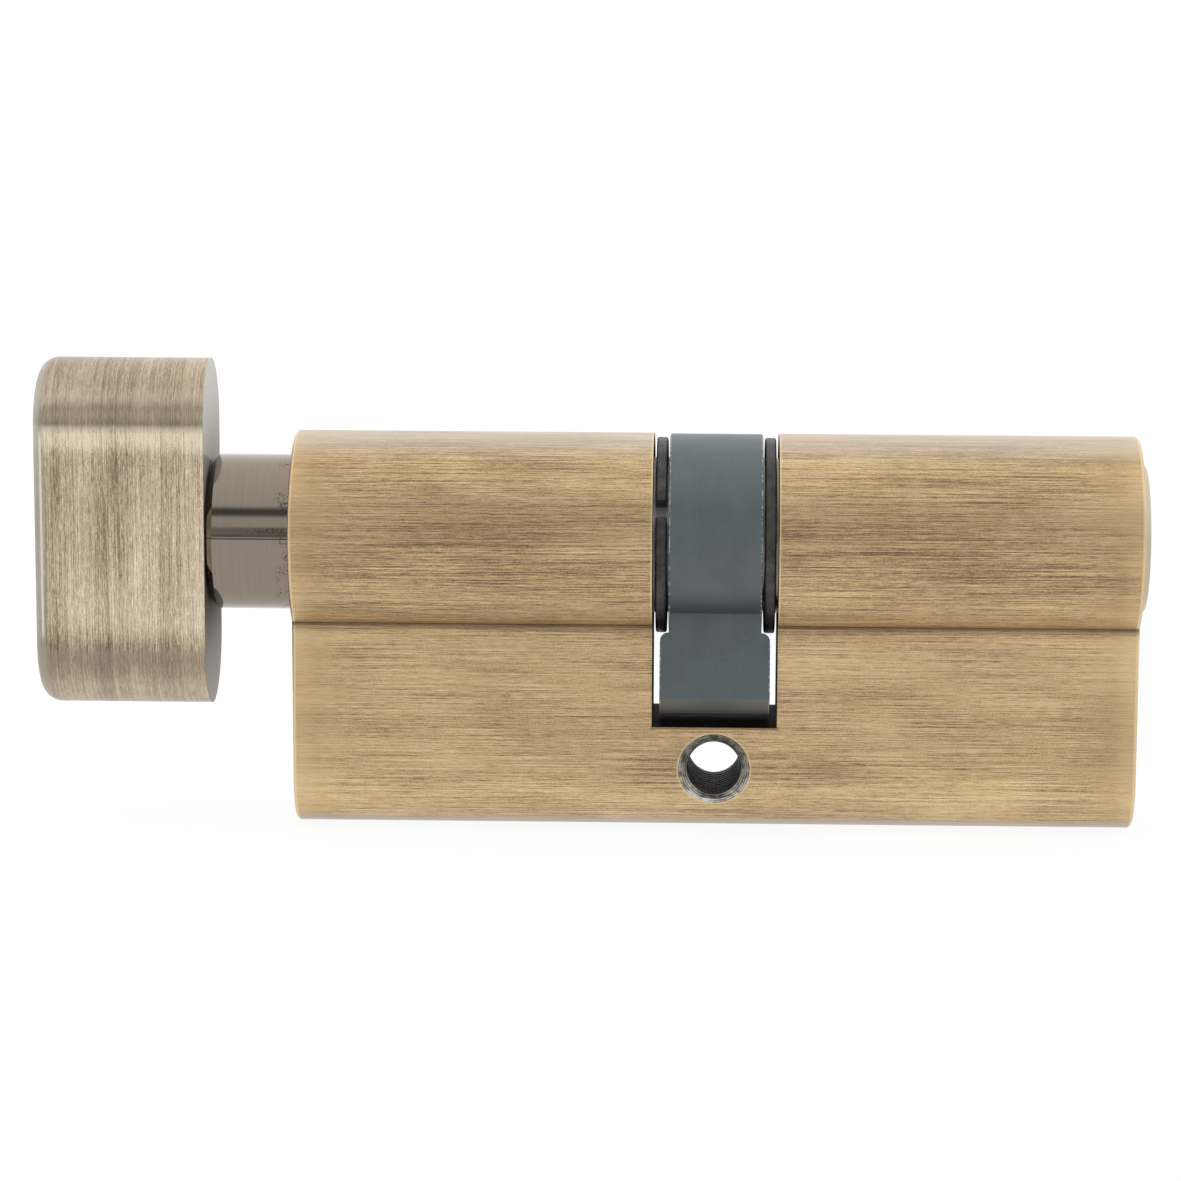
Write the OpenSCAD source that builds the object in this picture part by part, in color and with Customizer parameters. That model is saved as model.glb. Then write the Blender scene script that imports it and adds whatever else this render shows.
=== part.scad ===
// Half-keyed profile lock cylinder: an oval thumb turn on one side, a six-pin key plug on the
// other, and a cam between them in the cut-out of a one-piece body.
// Millimetres. X runs along the barrel from the thumb turn to the key side, Y through the stem's
// thickness and Z up. The origin is the centre of the fixing-screw hole.

/* [Body] */
// Length of the body from the fixing hole to the thumb turn's end
turn_side_length = 35; // [29:0.5:60]
// Length of the body from the fixing hole to the key's end
key_side_length = 35; // [29:0.5:60]
// Diameter of the barrel
barrel_d = 17; // [16.8:0.1:18]
// Thickness of the stem under the barrel
stem_thickness = 10; // [9:0.1:11]
// Height of the whole body, from the top of the barrel to the foot of the stem
body_height = 33; // [32:0.1:36]
// Height of the barrel's axis over the fixing hole
axis_height = 18.9; // [18.7:0.05:19.6]
// Rounding of the edges at the body's two ends
body_edge_r = 0.35; // [0.1:0.05:0.8]
// Width of the cut-out that the cam turns in
cutout_width = 10.33; // [10.1:0.01:11]
// Depth of the cut-out below the barrel's axis
cutout_depth = 15.35; // [15.2:0.05:15.6]

/* [Fixing hole] */
// Core diameter of the thread for the fixing screw
fixing_hole_d = 4.4; // [3.3:0.1:4.6]
// Diameter of the countersink at each face
fixing_sink_d = 5.95; // [5:0.05:6.4]

/* [Thumb turn] */
// Height of the oval knob
knob_height = 29; // [24:0.5:34]
// Thickness of the oval knob
knob_thickness = 11.2; // [10:0.1:14]
// Length of the knob along the barrel
knob_length = 14.2; // [13:0.1:18]
// Rounding of the knob's outer edge
knob_edge_r = 1.6; // [0.4:0.1:3]
// Distance that the neck stands out of the body
neck_length = 6.85; // [4:0.05:10]
// Gap between the neck's shoulder and the knob
shoulder_gap = 0.25; // [0.05:0.05:0.6]
// Bevel of the neck's shoulder
neck_bevel = 0.45; // [0.1:0.05:0.8]
// Diameter of the neck and of the turn plug behind it
turn_plug_d = 12.92; // [12.4:0.01:12.95]
// Diameter of the tenon that the knob sits on
tenon_d = 9; // [7:0.1:9.4]
// Length of the tenon
tenon_length = 10; // [8:0.1:11]
// Diameter of the set screw under the knob
screw_d = 3; // [2.5:0.1:4]
// Distance of the set screw from the knob's inner face
screw_place = 7; // [4:0.1:7.5]
// Depth of the set screw below the knob's round end
screw_recess = 2; // [0.5:0.1:4]
// Depth of the screw's seat in the tenon
screw_seat = 0.5; // [0.2:0.1:1]
// Size across the corners of the screw's hexagon socket
screw_socket_d = 1.7; // [1.3:0.1:1.8]
// Depth of the screw's socket
screw_socket_depth = 1.6; // [1:0.1:2.4]

/* [Key plug] */
// Diameter of the bores for the two plugs
plug_bore_d = 13; // [13:0.01:13.2]
// Diameter of the key plug
key_plug_d = 12.9; // [12.4:0.01:12.95]
// Distance that the key plug stands proud of the body
plug_proud = 0.6; // [0.1:0.05:1]
// Bevel around the face of the key plug
plug_bevel = 0.4; // [0.1:0.05:0.8]
// Width of the keyway
keyway_width = 2.5; // [2.2:0.1:2.8]
// Height of the keyway over the plug's axis
keyway_top = 4.2; // [3.6:0.1:4.6]
// Depth of the keyway below the plug's axis
keyway_bottom = 4.6; // [4:0.1:5]
// Height of each ward in the keyway
ward_height = 1.1; // [0.8:0.1:1.4]
// Distance that each ward reaches into the keyway
ward_reach = 0.9; // [0.5:0.1:1.2]
// Depth of the step around the keyway's mouth
mouth_depth = 0.35; // [0.2:0.05:0.6]
// Width of the step around the keyway's mouth
mouth_step = 0.3; // [0.2:0.05:0.5]

/* [Pins] */
// Greatest distance between two pins; they stand closer on a short key side
pin_pitch = 3.9; // [3.6:0.1:4]
// Distance of the first pin from the body's key side
first_pin = 5.7; // [5.5:0.1:7]
// Diameter of the pins
pin_d = 2.9; // [2.6:0.05:2.95]
// Diameter of the pin chambers
chamber_d = 3; // [3:0.05:3.1]
// Length of the shortest key pin
key_pin_length = 4.9; // [4.4:0.1:5.2]
// Length added to a key pin by each step of the key's cuts
pin_step = 0.45; // [0.3:0.05:0.5]
// Height over the plug's axis where the key pins' holes end
pin_hole_top = 1.2; // [1:0.1:1.6]
// Length of the driver pins
driver_length = 5; // [4:0.1:6]
// Bevel at the pins' ends
pin_bevel = 0.3; // [0.15:0.05:0.5]
// Radius of the blunt point that rests in the key's cut
pin_point_r = 0.35; // [0.2:0.05:0.6]
// Length of the stoppers that close the chambers
stopper_length = 2.1; // [1.5:0.1:3]
// Diameter of the springs' wire
spring_wire_d = 0.32; // [0.25:0.01:0.4]
// Number of coils in each pin spring
spring_coils = 9; // [6:1:11]

/* [Cam] */
// Diameter of the cam's ring
cam_d = 16.9; // [16.4:0.05:16.95]
// Width of the cam's ring
cam_width = 7.7; // [7.2:0.05:7.8]
// Rounding of the ring's edges
cam_edge_r = 0.15; // [0.05:0.05:0.4]
// Reach of the lug from the barrel's axis
lug_reach = 15; // [13.5:0.05:15.1]
// Width of the lug below the retaining rings
lug_width = 9.05; // [8.4:0.05:9.4]
// Thickness of the lug
lug_thickness = 9.2; // [7:0.1:9.4]
// Angle of the lug from straight down
lug_angle = 17; // [0:1:30]
// Rounding of the lug's shoulders
lug_shoulder_r = 0.7; // [0.3:0.05:1]

/* [Clutch] */
// Width of the drive bar and of the clutch slider
bar_width = 4; // [3.6:0.1:4.4]
// Reach of the bars from the axis
bar_reach = 7.4; // [7:0.05:7.5]
// Thickness of the drive bar and of the clutch slider
bar_thickness = 1.6; // [1.4:0.05:1.7]
// Distance that the key pushes the clutch slider
clutch_travel = 2; // [1.8:0.05:2.1]
// Diameter of the pocket for the clutch spring
spring_pocket_d = 3; // [2.8:0.05:3.2]
// Depth of the pocket for the clutch spring
spring_pocket_depth = 4.9; // [4:0.1:6]

/* [Retaining rings] */
// Outer diameter of the retaining rings
ring_d = 16.3; // [15.6:0.1:16.6]
// Inner diameter of the retaining rings
ring_bore_d = 11.8; // [11.4:0.05:12]
// Thickness of the retaining rings
ring_thickness = 0.92; // [0.8:0.01:0.98]
// Rounding of the rings' edges
ring_edge_r = 0.2; // [0.05:0.05:0.3]
// Width of the opening in each ring
ring_opening = 1.45; // [1:0.05:4]
// Angle of the left ring's opening over the horizontal, on the -Y side
left_opening_angle = 24; // [-60:1:60]
// Angle of the right ring's opening over the horizontal, on the -Y side
right_opening_angle = 196; // [120:1:240]

/* [Hidden] */
$fn = 96;

pin_count = 6;

// Fineness of the coil springs
wire_sides = 4;
steps_per_coil = 10;
closed_coil_pitch = 1.2;
clutch_coils = 6;

// Clearances between the pieces
bar_play = 0.05;
groove_play = 0.1;
ring_play = 0.05;
screw_play = 0.02;
tenon_play = 0.02;
shear_gap = 0.07;
spring_play = 0.03;
cam_bore_play = 0.05;
axial_play = 0.2;
ring_set_back = 0.03;
pin_foot_gap = 0.02;
stopper_play = 0.01;
chamber_wall = 0.2;

// Derived sizes of the body
barrel_r = barrel_d / 2;
foot_r = stem_thickness / 2;
foot_z = axis_height + barrel_r - body_height + foot_r;
cutout_half = cutout_width / 2;
fixing_r = fixing_hole_d / 2;
sink_r = fixing_sink_d / 2;
sink_depth = sink_r - fixing_r;

// Derived sizes of the thumb turn
knob_r = knob_thickness / 2;
knob_end_z = knob_height / 2 - knob_r;
knob_inner_x = -turn_side_length - neck_length - shoulder_gap;
knob_outer_x = knob_inner_x - knob_length;
shoulder_x = -turn_side_length - neck_length;
turn_plug_r = turn_plug_d / 2;
screw_x = knob_inner_x - screw_place;
screw_top_z = -(tenon_d / 2 - screw_seat) - screw_play;
screw_bottom_z = -knob_height / 2 + screw_recess;

// Derived sizes along the axis inside the cam
cam_half = cam_width / 2;
cam_bore_r = plug_bore_d / 2 + cam_bore_play;
groove_r = bar_reach + axial_play;
groove_half = bar_width / 2 + groove_play;
clutch_x = 4 * axial_play;
recess_from = clutch_x - axial_play;
recess_to = clutch_x + bar_thickness + axial_play;
drive_bar_x = clutch_x - clutch_travel - bar_thickness - 3 * axial_play;
turn_plug_end = drive_bar_x + bar_thickness + axial_play;
key_plug_end = turn_plug_end + 3 * axial_play;
pocket_end_x = turn_plug_end - spring_pocket_depth;

// Derived sizes of the rings and their grooves
ring_middle_x = (cutout_half + cam_half) / 2 - ring_set_back;
ring_groove_half = ring_thickness / 2 + ring_play;
ring_groove_r = ring_bore_d / 2 - ring_play;

// Derived sizes of the pins, measured from the plug's axis
key_plug_r = key_plug_d / 2;
key_cuts = [3, 1, 4, 2, 0, 3];
chamber_r = chamber_d / 2;
last_pin_x = cutout_half + chamber_r + chamber_wall;
pin_spacing = min(pin_pitch, (key_side_length - first_pin - last_pin_x) / (pin_count - 1));
key_pin_z = -(key_plug_r - shear_gap - pin_foot_gap);
driver_z = -(plug_bore_d / 2 + pin_foot_gap);
stopper_z = foot_z - foot_r + stopper_length - axis_height;

// Points of an arc around a centre, in the plane of a profile
function arc(centre, r, from, to, steps = 6) = [
    for (i = [0:steps])
        let (a = from + (to - from) * i / steps)
            [centre.x + r * cos(a), centre.y + r * sin(a)],
];

// Where pin number i stands along the barrel, counted from the key side
function pin_x(i) = key_side_length - first_pin - (i - 1) * pin_spacing;

// Length of key pin number i
function key_pin_size(i) = key_pin_length + pin_step * key_cuts[i - 1];

// Half outline of a round bar with rounded end edges, as points of radius and place
function rounded_bar(r, from, to, edge) = concat(
    [[0, from]],
    arc([r - edge, from + edge], edge, -90, 0),
    arc([r - edge, to - edge], edge, 0, 90),
    [[0, to]]
);

// Puts what is drawn around the barrel's axis in its place over the fixing hole
module on_axis() {
    translate([0, 0, axis_height]) children();
}

// Turns a half outline of radius and place around the X axis
module turned(outline) {
    rotate([0, 90, 0]) rotate_extrude() polygon(outline);
}

// A round rod along X
module rod(r, from, to) {
    translate([from, 0, 0]) rotate([0, 90, 0]) cylinder(r = r, h = to - from);
}

// A block given by the places of its two ends on each axis
module block(x, y, z) {
    translate([x[0], y[0], z[0]]) cube([x[1] - x[0], y[1] - y[0], z[1] - z[0]]);
}

// An upright pin with a bevel at its foot and its own shape of head
module upright_pin(r, bottom, length, foot_bevel, head_bevel, head_r) {
    translate([0, 0, bottom]) rotate_extrude() polygon([
        [0, 0],
        [r - foot_bevel, 0],
        [r, foot_bevel],
        [r, length - head_bevel],
        [head_r, length],
        [0, length],
    ]);
}

// A coil spring along Z whose first and last coils lie close together
module coil_spring(length, mean_r, wire_d, coils) {
    rings = coils * steps_per_coil;
    wire_r = wire_d / 2;
    closed_rise = wire_d * closed_coil_pitch;
    open_rise = (length - wire_d - 2 * closed_rise) / (coils - 2);
    function rise(turn) =
        turn < 1 ? turn * closed_rise
        : turn > coils - 1 ? closed_rise + (coils - 2) * open_rise + (turn - coils + 1) * closed_rise
        : closed_rise + (turn - 1) * open_rise;
    points = [
        for (i = [0:rings], k = [0:wire_sides - 1])
            let (
                a = 360 * i / steps_per_coil,
                b = 360 * k / wire_sides,
                r = mean_r + wire_r * cos(b)
            )
                [r * cos(a), r * sin(a), wire_r + rise(i / steps_per_coil) + wire_r * sin(b)],
    ];
    walls = [
        for (i = [0:rings - 1], k = [0:wire_sides - 1])
            let (
                this = i * wire_sides,
                ahead = this + wire_sides,
                next = (k + 1) % wire_sides
            )
                [this + k, ahead + k, ahead + next, this + next],
    ];
    start = [for (k = [0:wire_sides - 1]) k];
    end = [for (k = [wire_sides - 1:-1:0]) rings * wire_sides + k];
    polyhedron(points, concat(walls, [start, end]));
}

// Body without its holes: barrel, flat stem and round foot
module body_blank() {
    from = -turn_side_length;
    to = key_side_length;
    on_axis() turned(rounded_bar(barrel_r, from, to, body_edge_r));
    translate([0, 0, foot_z]) turned(rounded_bar(foot_r, from, to, body_edge_r));
    translate([0, 0, foot_z]) linear_extrude(axis_height - foot_z) polygon(concat(
        arc([to - body_edge_r, foot_r - body_edge_r], body_edge_r, 0, 90),
        arc([from + body_edge_r, foot_r - body_edge_r], body_edge_r, 90, 180),
        arc([from + body_edge_r, body_edge_r - foot_r], body_edge_r, 180, 270),
        arc([to - body_edge_r, body_edge_r - foot_r], body_edge_r, 270, 360)
    ));
}

// Hole for the fixing screw, countersunk on both faces
module fixing_hole() {
    rotate([90, 0, 0]) cylinder(r = fixing_r, h = stem_thickness + 2, center = true);
    for (side = [-1, 1])
        rotate([side * 90, 0, 0]) translate([0, 0, foot_r - sink_depth])
            cylinder(r1 = fixing_r, r2 = sink_r + 1, h = sink_depth + 1);
}

// Where the stem is opened for the cam, the bores for the plugs and the chambers for the pins
module housing() {
    color([0.77, 0.66, 0.48]) difference() {
        body_blank();
        on_axis() rod(plug_bore_d / 2, -turn_side_length - 1, key_side_length + 1);
        block(
            [-cutout_half, cutout_half],
            [-barrel_r - 1, barrel_r + 1],
            [axis_height - cutout_depth, axis_height + barrel_r + 1]
        );
        fixing_hole();
        for (i = [1:pin_count])
            translate([pin_x(i), 0, foot_z - foot_r - 1])
                cylinder(r = chamber_r, h = axis_height - foot_z + foot_r + 1);
    }
}

// Oval knob: straight sides between two round ends, with the outer edge rounded over
module thumb_turn() {
    outline = concat(
        [[0, knob_outer_x]],
        arc([knob_r - knob_edge_r, knob_outer_x + knob_edge_r], knob_edge_r, -90, 0, 8),
        [[knob_r, knob_inner_x], [0, knob_inner_x]]
    );
    color([0.67, 0.60, 0.47]) on_axis() difference() {
        union() {
            for (side = [-1, 1])
                translate([0, 0, side * knob_end_z]) turned(outline);
            translate([0, 0, -knob_end_z]) linear_extrude(2 * knob_end_z)
                for (side = [-1, 1])
                    polygon([for (p = outline) [p[1], side * p[0]]]);
        }
        rod(tenon_d / 2 + tenon_play, knob_inner_x - tenon_length - tenon_play, knob_inner_x + 1);
        translate([screw_x, 0, -knob_height]) cylinder(r = screw_d / 2, h = knob_height);
    }
}

// Plug on the thumb turn's side: tenon, neck, ring groove, and the slot for the drive bar
module turn_plug() {
    color([0.55, 0.51, 0.47]) on_axis() difference() {
        turned([
            [0, knob_inner_x - tenon_length],
            [tenon_d / 2 - pin_bevel, knob_inner_x - tenon_length],
            [tenon_d / 2, knob_inner_x - tenon_length + pin_bevel],
            [tenon_d / 2, shoulder_x],
            [turn_plug_r - neck_bevel, shoulder_x],
            [turn_plug_r, shoulder_x + neck_bevel],
            [turn_plug_r, -ring_middle_x - ring_groove_half],
            [ring_groove_r, -ring_middle_x - ring_groove_half],
            [ring_groove_r, -ring_middle_x + ring_groove_half],
            [turn_plug_r, -ring_middle_x + ring_groove_half],
            [turn_plug_r, turn_plug_end],
            [0, turn_plug_end],
        ]);
        block(
            [drive_bar_x, turn_plug_end + 1],
            [-barrel_r, barrel_r],
            [-bar_width / 2, bar_width / 2]
        );
        rod(spring_pocket_d / 2, pocket_end_x, turn_plug_end + 1);
        translate([screw_x, 0, -tenon_d])
            cylinder(r = screw_d / 2 + screw_play, h = tenon_d / 2 + screw_seat);
    }
}

// Set screw that comes up from the knob's lower end and bears on the tenon
module turn_screw() {
    length = screw_top_z - screw_bottom_z;
    color([0.35, 0.35, 0.36]) on_axis() translate([screw_x, 0, 0]) difference() {
        upright_pin(
            screw_d / 2 - screw_play, screw_bottom_z, length,
            pin_bevel, pin_bevel, screw_d / 2 - screw_play - pin_bevel
        );
        translate([0, 0, screw_bottom_z - 1])
            cylinder(r = screw_socket_d / 2, h = 1 + screw_socket_depth, $fn = 6);
    }
}

// Outline of the lug seen along Y: as wide as the ring at first, then out over round shoulders
module lug_outline() {
    half = lug_width / 2;
    neck_half = cam_half - cam_edge_r / 3;
    shoulder = -ring_d / 2 - 3 * axial_play - lug_shoulder_r;
    polygon(concat(
        [[-neck_half, 0], [-neck_half, shoulder + lug_shoulder_r]],
        arc([-half + lug_shoulder_r, shoulder], lug_shoulder_r, 90, 180),
        [[-half, -lug_reach - 1], [half, -lug_reach - 1]],
        arc([half - lug_shoulder_r, shoulder], lug_shoulder_r, 0, 90),
        [[neck_half, shoulder + lug_shoulder_r], [neck_half, 0]]
    ));
}

// Cam: a ring around both plugs with a lug, grooves for the bars and a free turning recess
module cam() {
    color([0.36, 0.40, 0.41]) on_axis() difference() {
        union() {
            turned(rounded_bar(cam_d / 2, -cam_half, cam_half, cam_edge_r));
            rotate([-lug_angle, 0, 0]) intersection() {
                rotate([90, 0, 0])
                    linear_extrude(lug_thickness, center = true) lug_outline();
                rod(lug_reach, -lug_width, lug_width);
            }
        }
        rod(cam_bore_r, -cam_half - 1, cam_half + 1);
        intersection() {
            rod(groove_r, -cam_half - 1, recess_to);
            union() {
                block([-cam_half - 1, recess_to], [-cam_d, cam_d], [-groove_half, groove_half]);
                block([recess_from, recess_to + 1], [-cam_d, cam_d], [-cam_d, cam_d]);
            }
        }
    }
}

// A bar across the axis with round ends, from one place along X to another
module cross_bar(from) {
    intersection() {
        rod(bar_reach, from, from + bar_thickness);
        block([from, from + bar_thickness], [-bar_reach, bar_reach], [-bar_width / 2, bar_width / 2]);
    }
}

// Bar that ties the turn plug to the cam for good
module drive_bar() {
    color([0.62, 0.62, 0.63]) on_axis() difference() {
        cross_bar(drive_bar_x);
        rod(spring_pocket_d / 2, drive_bar_x - 1, drive_bar_x + bar_thickness + 1);
    }
}

// Sliding bar in the key plug's end, which the tip of the key pushes into the cam's grooves
module clutch_slider() {
    slim = bar_width / 2 - bar_play;
    color([0.70, 0.66, 0.52]) on_axis() intersection() {
        rod(bar_reach, clutch_x, clutch_x + bar_thickness);
        block([clutch_x, clutch_x + bar_thickness], [-bar_reach, bar_reach], [-slim, slim]);
    }
}

// Spring that holds the clutch slider out of the cam's grooves
module clutch_spring() {
    from = pocket_end_x + spring_play;
    mean_r = spring_pocket_d / 2 - spring_wire_d;
    color([0.75, 0.75, 0.76]) on_axis() translate([from, 0, 0]) rotate([0, 90, 0])
        coil_spring(clutch_x - spring_play - from, mean_r, spring_wire_d, clutch_coils);
}

// Open ring that holds a plug in the body, with its opening turned to the given angle
module retaining_ring(middle, opening_angle) {
    color([0.27, 0.27, 0.27]) on_axis() translate([middle, 0, 0]) difference() {
        turned(rounded_bar(ring_d / 2, -ring_thickness / 2, ring_thickness / 2, ring_edge_r));
        rod(ring_bore_d / 2, -1, 1);
        rotate([180 - opening_angle, 0, 0])
            block([-1, 1], [0, ring_d], [-ring_opening / 2, ring_opening / 2]);
    }
}

// Keyway seen along the barrel: a slot with a ward on each side
module keyway_outline(grow) {
    half = keyway_width / 2 + grow;
    difference() {
        translate([-keyway_top - grow, -half])
            square([keyway_top + keyway_bottom + 2 * grow, 2 * half]);
        translate([-2 * ward_height, half - ward_reach]) square([ward_height, ward_reach + 1]);
        translate([ward_height / 2, -half - 1]) square([ward_height, ward_reach + 1]);
    }
}

// Plug that the key turns: face, ring groove, keyway, pin holes and the slider's slot
module key_plug() {
    face_x = key_side_length + plug_proud;
    color([0.66, 0.60, 0.50]) on_axis() difference() {
        turned([
            [0, key_plug_end],
            [key_plug_r, key_plug_end],
            [key_plug_r, ring_middle_x - ring_groove_half],
            [ring_groove_r, ring_middle_x - ring_groove_half],
            [ring_groove_r, ring_middle_x + ring_groove_half],
            [key_plug_r, ring_middle_x + ring_groove_half],
            [key_plug_r, face_x - plug_bevel],
            [key_plug_r - plug_bevel, face_x],
            [0, face_x],
        ]);
        translate([clutch_x, 0, 0]) rotate([0, 90, 0])
            linear_extrude(face_x - clutch_x + 1) keyway_outline(0);
        translate([face_x - mouth_depth, 0, 0]) rotate([0, 90, 0])
            linear_extrude(mouth_depth + 1) keyway_outline(mouth_step);
        block(
            [key_plug_end - 1, recess_to],
            [-barrel_r, barrel_r],
            [-bar_width / 2, bar_width / 2]
        );
        for (i = [1:pin_count])
            translate([pin_x(i), 0, -barrel_r]) cylinder(r = chamber_r, h = barrel_r + pin_hole_top);
    }
}

// Key pin: its pointed head rests in a cut of the key and its foot is at the shear line
module key_pin(i) {
    head = pin_d / 2 - pin_point_r;
    color([0.80, 0.68, 0.38]) on_axis() translate([pin_x(i), 0, 0])
        upright_pin(pin_d / 2, key_pin_z, key_pin_size(i), pin_bevel, head, pin_point_r);
}

// Driver pin, with its head just outside the key plug
module driver_pin(i) {
    color([0.72, 0.72, 0.70]) on_axis() translate([pin_x(i), 0, 0])
        upright_pin(
            pin_d / 2, driver_z - driver_length, driver_length,
            pin_bevel, pin_bevel, pin_d / 2 - pin_bevel
        );
}

// Spring between a driver pin and its stopper
module pin_spring(i) {
    from = stopper_z + spring_play;
    to = driver_z - driver_length - spring_play;
    color([0.75, 0.75, 0.76]) on_axis() translate([pin_x(i), 0, from])
        coil_spring(to - from, pin_d / 2 - spring_wire_d, spring_wire_d, spring_coils);
}

// Stopper that closes a chamber, finished flush with the round foot of the stem
module chamber_plug(i) {
    color([0.74, 0.62, 0.42]) intersection() {
        translate([pin_x(i), 0, foot_z - foot_r - 1])
            cylinder(r = chamber_r - stopper_play, h = stopper_length + 1);
        translate([0, 0, foot_z]) rod(foot_r, 0, key_side_length);
    }
}

housing();
thumb_turn();
turn_plug();
turn_screw();
cam();
drive_bar();
clutch_slider();
clutch_spring();
retaining_ring(-ring_middle_x, left_opening_angle);  // retaining_ring_left
retaining_ring(ring_middle_x, right_opening_angle);  // retaining_ring_right
key_plug();
key_pin(1);  // key_pin_1
key_pin(2);  // key_pin_2
key_pin(3);  // key_pin_3
key_pin(4);  // key_pin_4
key_pin(5);  // key_pin_5
key_pin(6);  // key_pin_6
driver_pin(1);  // driver_pin_1
driver_pin(2);  // driver_pin_2
driver_pin(3);  // driver_pin_3
driver_pin(4);  // driver_pin_4
driver_pin(5);  // driver_pin_5
driver_pin(6);  // driver_pin_6
pin_spring(1);  // pin_spring_1
pin_spring(2);  // pin_spring_2
pin_spring(3);  // pin_spring_3
pin_spring(4);  // pin_spring_4
pin_spring(5);  // pin_spring_5
pin_spring(6);  // pin_spring_6
chamber_plug(1);  // chamber_plug_1
chamber_plug(2);  // chamber_plug_2
chamber_plug(3);  // chamber_plug_3
chamber_plug(4);  // chamber_plug_4
chamber_plug(5);  // chamber_plug_5
chamber_plug(6);  // chamber_plug_6
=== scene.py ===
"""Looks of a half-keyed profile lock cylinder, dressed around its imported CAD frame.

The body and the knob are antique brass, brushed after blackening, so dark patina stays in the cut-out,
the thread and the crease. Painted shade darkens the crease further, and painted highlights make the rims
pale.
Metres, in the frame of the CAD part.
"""
import logging
import math
from dataclasses import dataclass
from enum import Enum
from typing import Sequence, Union

import bmesh
import bpy
from mathutils import Matrix, Vector


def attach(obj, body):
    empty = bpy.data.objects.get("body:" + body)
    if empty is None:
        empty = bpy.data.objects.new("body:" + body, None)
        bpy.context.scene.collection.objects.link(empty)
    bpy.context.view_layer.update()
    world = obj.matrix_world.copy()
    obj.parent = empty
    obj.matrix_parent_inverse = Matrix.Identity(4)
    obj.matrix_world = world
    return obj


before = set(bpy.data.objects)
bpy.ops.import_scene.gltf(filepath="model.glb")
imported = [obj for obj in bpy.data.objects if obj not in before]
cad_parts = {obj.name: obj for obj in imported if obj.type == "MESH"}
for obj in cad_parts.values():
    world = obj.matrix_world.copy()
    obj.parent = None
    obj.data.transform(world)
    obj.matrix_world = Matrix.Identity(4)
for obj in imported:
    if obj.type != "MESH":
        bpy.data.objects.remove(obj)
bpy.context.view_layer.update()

LOG = logging.getLogger("cylinder")
MM = 0.001
AXIS_Z = 18.9 * MM
BARREL_R = 8.5 * MM
STEM_HALF = 5.0 * MM
BODY_HALF = 35.0 * MM
BODY_HEIGHT = 33.0 * MM
FOOT_Z = -5.6 * MM
CREASE_Z = AXIS_Z - math.sqrt(BARREL_R ** 2 - STEM_HALF ** 2)
CUTOUT_HALF = 5.165 * MM
CUTOUT_FLOOR_Z = 3.55 * MM
BORE_R = 6.5 * MM
SINK_R = 3.0 * MM
KNOB_INNER_X = -42.1 * MM
KNOB_OUTER_X = KNOB_INNER_X - 14.2 * MM
KNOB_HALF = 14.5 * MM
PIN_NUMBERS = range(1, 7)
NOISE_MIDDLE = 0.5
TONE_PLACES = (0.12, 0.36, 0.56, 0.85)
WHITE = (1.0, 1.0, 1.0, 1.0)

Colour = tuple[float, float, float]
Socket = bpy.types.NodeSocket
Value = Union[float, Socket]
Stops = Sequence[tuple[float, Union[Colour, float]]]


def srgb(red: float, green: float, blue: float) -> Colour:
    """A colour given as 0 to 255 on the screen, as the linear values that a shader takes.

    Args:
        red: Red, 0 to 255.
        green: Green, 0 to 255.
        blue: Blue, 0 to 255.

    Returns:
        The three linear values.
    """
    def linear(level: float) -> float:
        """One channel."""
        share = level / 255
        return share / 12.92 if share <= 0.04045 else ((share + 0.055) / 1.055) ** 2.4

    return linear(red), linear(green), linear(blue)


# How far the brush has cut through the patina, with painted light and shade over the height: place over the
# height, and level.
BODY_PATINA_AND_PAINTED_SHADE = (
    (0.00, 0.46), (0.05, 0.57), (0.09, 0.62), (0.12, 0.60), (0.155, 0.58), (0.20, 0.59), (0.30, 0.575),
    (0.42, 0.605), (0.495, 0.635), (0.512, 0.58), (0.53, 0.54), (0.58, 0.55), (0.61, 0.51), (0.65, 0.475),
    (0.70, 0.475), (0.76, 0.525), (0.80, 0.55), (0.86, 0.595), (0.90, 0.56), (0.935, 0.51), (1.0, 0.50),
)
# The knob's: painted shade on the round ends and a painted highlight band at the top of the flat.
KNOB_PATINA_AND_PAINTED_SHADE = (
    (0.00, 0.46), (0.03, 0.50), (0.0725, 0.50), (0.09, 0.44), (0.113, 0.37), (0.15, 0.33), (0.19, 0.41),
    (0.2245, 0.53), (0.26, 0.61), (0.32, 0.60), (0.60, 0.54), (0.72, 0.53), (0.745, 0.56), (0.77, 0.74),
    (0.785, 0.80), (0.82, 0.80), (0.832, 0.48), (0.855, 0.52), (0.885, 0.62), (0.94, 0.41), (1.0, 0.42),
)
# The knob's inner face over its height: a painted reflection of what it mirrors, and how much it dulls the
# metal.
KNOB_PAINTED_REFLECTION = (
    (0.0, srgb(122, 115, 105)), (0.12, srgb(112, 105, 95)), (0.29, srgb(106, 98, 89)),
    (0.55, srgb(124, 117, 108)), (0.77, srgb(164, 159, 151)), (0.9, srgb(182, 179, 173)),
    (1.0, srgb(186, 182, 174)),
)
KNOB_DULL = (
    (0.0, 0.5), (0.1, 0.6), (0.17, 0.7), (0.29, 0.95), (0.55, 0.9), (0.77, 0.7), (0.9, 0.5), (1.0, 0.3),
)


class Grain(Enum):
    """Which way the lines of a metal's surface run: False on the axes that they follow."""

    ALONG_X = (False, True, True)
    AROUND_X = (True, False, False)
    AROUND_Z = (False, False, True)
    ALONG_Z = (True, True, False)
    NONE = (True, True, True)


@dataclass(frozen=True)
class Pattern:
    """A noise pattern drawn out along a grain.

    The scale counts features per metre across the grain. How quickly it changes along the grain is
    drawn, a share of that. The shift sets two patterns of one scale apart, and the weight is how
    strongly it shows where patterns are layered.
    """

    scale: float
    grain: Grain = Grain.NONE
    drawn: float = 0.03
    weight: float = 1.0
    shift: float = 0.0
    detail: float = 2.0


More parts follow.
